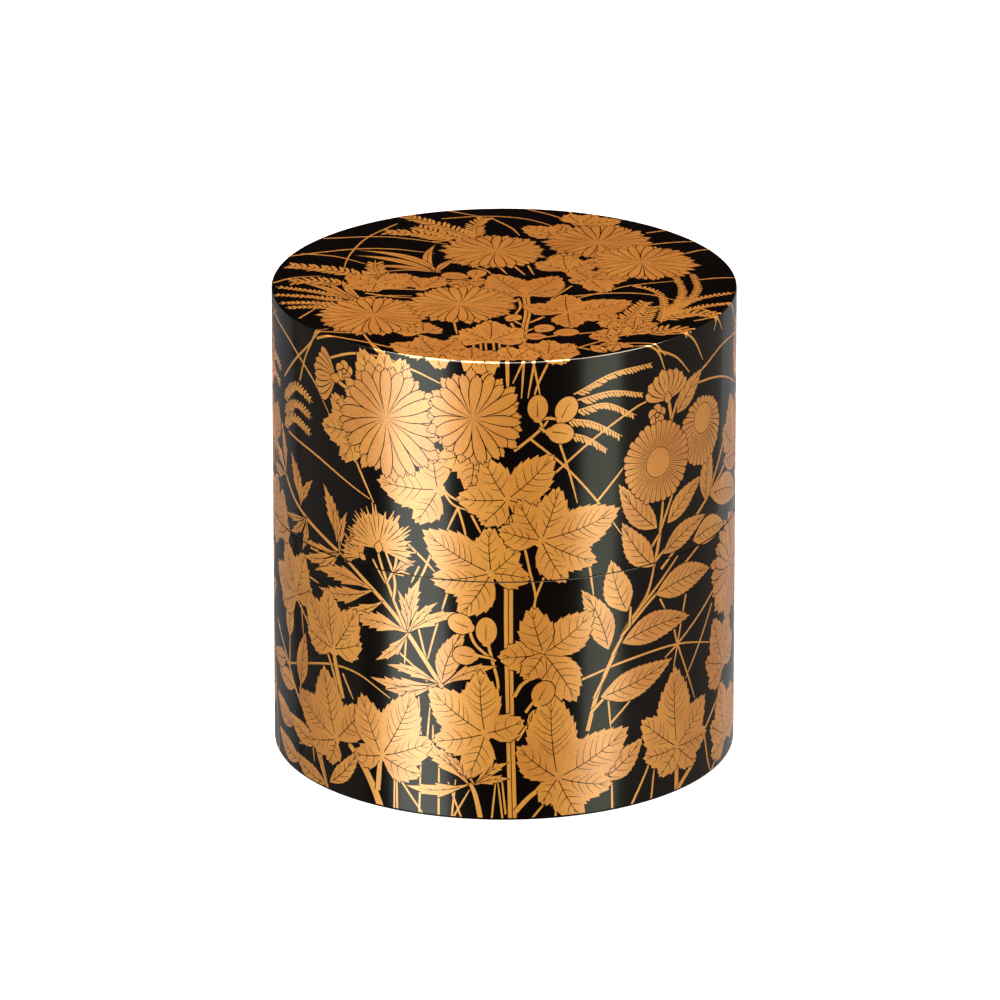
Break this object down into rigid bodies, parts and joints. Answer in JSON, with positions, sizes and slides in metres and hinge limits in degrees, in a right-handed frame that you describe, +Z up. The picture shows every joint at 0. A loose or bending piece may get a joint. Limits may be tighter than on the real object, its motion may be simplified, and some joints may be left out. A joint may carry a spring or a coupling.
{
  "type": "lacquer tea caddy",
  "caption": "Round black-lacquered wooden tea caddy with straight sides, gold-sprinkled autumn grasses and flowers, and a deep lid that lifts off at mid height.",
  "frame": {"origin": "centre of the underside, on the plane of the foot ring", "axes": "+Z up along the axis the caddy was turned on, from the body to the lid; -Y is the side shown in the picture"},
  "size_m": [0.066, 0.066, 0.0692],
  "materials": {
    "black_lacquer": "turned wood under polished black lacquer",
    "gold_sprinkling": "fine gold powder set flush in the lacquer and burnished"
  },
  "bodies": {
    "root": {"caddy_body": "black_lacquer", "caddy_lid": "black_lacquer"}
  },
  "joints": []
}
